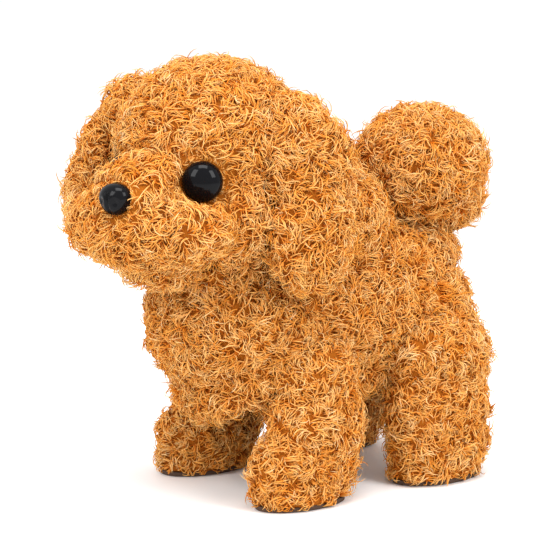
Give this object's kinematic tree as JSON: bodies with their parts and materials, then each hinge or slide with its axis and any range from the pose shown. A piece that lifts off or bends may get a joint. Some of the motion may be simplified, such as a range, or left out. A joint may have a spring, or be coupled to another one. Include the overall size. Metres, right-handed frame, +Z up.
{
  "type": "interactive plush pet",
  "caption": "Walking plush dog with curly fur, hanging ears, a geared walking drive, wagging tail, opening jaw, slide switch and battery door.",
  "frame": {"origin": "centre of the bounding box's bottom face, on the surface that the soles stand on", "axes": "+X towards the dog's left, +Y towards its tail, +Z up"},
  "size_m": [0.0986, 0.1838, 0.162],
  "materials": {
    "curly_plush": "curly faux fur, golden orange",
    "sole": "thin dark brown sole, matte",
    "eye_black": "polished black dome",
    "nose_black": "polished black",
    "housing_plastic": "moulded, light satin texture",
    "tan_plastic": "moulded, coloured like the fur",
    "door_plastic": "moulded, fine texture",
    "switch_plastic": "moulded black",
    "nylon": "natural nylon",
    "steel": "bright drawn steel",
    "dark_plastic": "moulded black",
    "cell_jacket": "printed film jacket, plain",
    "nickel": "nickel-plated spring steel",
    "board_green": "solder mask",
    "lead_red": "soft PVC insulation"
  },
  "bodies": {
    "chassis": {"battery_box": "door_plastic", "battery_cell_left": "cell_jacket", "battery_cell_right": "cell_jacket", "battery_contacts": "nickel", "body_cover": "curly_plush", "chassis_left": "housing_plastic", "chassis_right": "housing_plastic", "circuit_board": "board_green", "ear_left": "curly_plush", "ear_right": "curly_plush", "eye_left": "eye_black", "eye_right": "eye_black", "gear_pins": "steel", "head_cover": "curly_plush", "housing_screws": "steel", "leads": "lead_red", "leg_pivot_screws": "steel", "motor_can": "steel", "motor_end_cap": "dark_plastic", "neck_post": "tan_plastic", "nose": "nose_black", "safety_washers": "nylon", "skull_back": "housing_plastic", "skull_front": "housing_plastic", "speaker": "dark_plastic", "switch_housing": "housing_plastic"},
    "rear_crank": {"rear_axle": "steel", "rear_crank_gear": "nylon", "rear_crank_left": "nylon", "rear_crank_right": "nylon"},
    "front_crank": {"front_axle": "steel", "front_crank_gear": "nylon", "front_crank_left": "nylon", "front_crank_right": "nylon"},
    "middle_wheel": {"middle_gear": "nylon"},
    "reduction_low": {"reduction_gear_low": "nylon"},
    "reduction_high": {"reduction_gear_high": "nylon"},
    "rotor": {"motor_rotor": "steel", "motor_pinion": "nylon"},
    "tail": {"tail_arm": "tan_plastic", "tail_cover": "curly_plush"},
    "jaw": {"jaw_shell": "tan_plastic", "chin_cover": "curly_plush"},
    "switch_knob": {"power_switch": "switch_plastic"},
    "door": {"battery_door": "door_plastic", "battery_door_screw": "steel"},
    "leg_front_left": {"leg_frame_front_left": "tan_plastic", "leg_sleeve_front_left": "curly_plush", "foot_sole_front_left": "sole"},
    "leg_front_right": {"leg_frame_front_right": "tan_plastic", "leg_sleeve_front_right": "curly_plush", "foot_sole_front_right": "sole"},
    "leg_rear_left": {"leg_frame_rear_left": "tan_plastic", "leg_sleeve_rear_left": "curly_plush", "foot_sole_rear_left": "sole"},
    "leg_rear_right": {"leg_frame_rear_right": "tan_plastic", "leg_sleeve_rear_right": "curly_plush", "foot_sole_rear_right": "sole"}
  },
  "joints": [
    {"name": "rear_crank_spin", "type": "hinge", "parent": "chassis", "child": "rear_crank", "pos_m": [0, 0.04173, 0.0705], "axis": [1, 0, 0], "continuous": true},
    {"name": "middle_gear_spin", "type": "hinge", "parent": "chassis", "child": "middle_wheel", "pos_m": [0, 0.01293, 0.0705], "axis": [1, 0, 0], "continuous": true},
    {"name": "front_crank_spin", "type": "hinge", "parent": "chassis", "child": "front_crank", "pos_m": [0, -0.01587, 0.0705], "axis": [1, 0, 0], "continuous": true},
    {"name": "reduction_low_spin", "type": "hinge", "parent": "chassis", "child": "reduction_low", "pos_m": [0, 0.05093, 0.05457], "axis": [1, 0, 0], "continuous": true},
    {"name": "reduction_high_spin", "type": "hinge", "parent": "chassis", "child": "reduction_high", "pos_m": [0, 0.03959, 0.05338], "axis": [1, 0, 0], "continuous": true},
    {"name": "motor_spin", "type": "hinge", "parent": "chassis", "child": "rotor", "pos_m": [0, 0.04543, 0.0472], "axis": [1, 0, 0], "continuous": true},
    {"name": "leg_swing", "type": "hinge", "parent": "chassis", "child": "leg_front_left", "pos_m": [0.0243, -0.01587, 0.0565], "axis": [1, 0, 0], "range_deg": [-8, 8]},
    {"name": "front_right_leg_swing", "type": "hinge", "parent": "chassis", "child": "leg_front_right", "pos_m": [-0.0243, -0.01587, 0.0565], "axis": [1, 0, 0], "range_deg": [-8, 8]},
    {"name": "rear_left_leg_swing", "type": "hinge", "parent": "chassis", "child": "leg_rear_left", "pos_m": [0.0243, 0.04173, 0.0565], "axis": [1, 0, 0], "range_deg": [-8, 8]},
    {"name": "rear_right_leg_swing", "type": "hinge", "parent": "chassis", "child": "leg_rear_right", "pos_m": [-0.0243, 0.04173, 0.0565], "axis": [1, 0, 0], "range_deg": [-8, 8]},
    {"name": "tail_wag", "type": "hinge", "parent": "chassis", "child": "tail", "pos_m": [0, 0.04593, 0.0975], "axis": [0, 0, 1], "range_deg": [-15, 15]},
    {"name": "jaw_open", "type": "hinge", "parent": "chassis", "child": "jaw", "pos_m": [0.00445, -0.04979, 0.1], "axis": [0.9397, 0.342, 0], "range_deg": [0, 10]},
    {"name": "power_switch_slide", "type": "slide", "parent": "chassis", "child": "switch_knob", "axis": [1, 0, 0], "range_m": [0, 0.003]},
    {"name": "battery_door_swing", "type": "hinge", "parent": "chassis", "child": "door", "pos_m": [0, 0.02593, 0.0355], "axis": [1, 0, 0], "range_deg": [0, 80]}
  ],
  "couplings": [
    {"joint": "reduction_high_spin", "follows": "motor_spin", "ratio": -0.41667},
    {"joint": "reduction_low_spin", "follows": "motor_spin", "ratio": 0.14881},
    {"joint": "rear_crank_spin", "follows": "motor_spin", "ratio": -0.041336},
    {"joint": "middle_gear_spin", "follows": "motor_spin", "ratio": 0.041336},
    {"joint": "front_crank_spin", "follows": "motor_spin", "ratio": -0.041336},
    {"joint": "front_right_leg_swing", "follows": "leg_swing", "ratio": -1},
    {"joint": "rear_left_leg_swing", "follows": "leg_swing", "ratio": -1},
    {"joint": "rear_right_leg_swing", "follows": "leg_swing", "ratio": 1}
  ]
}
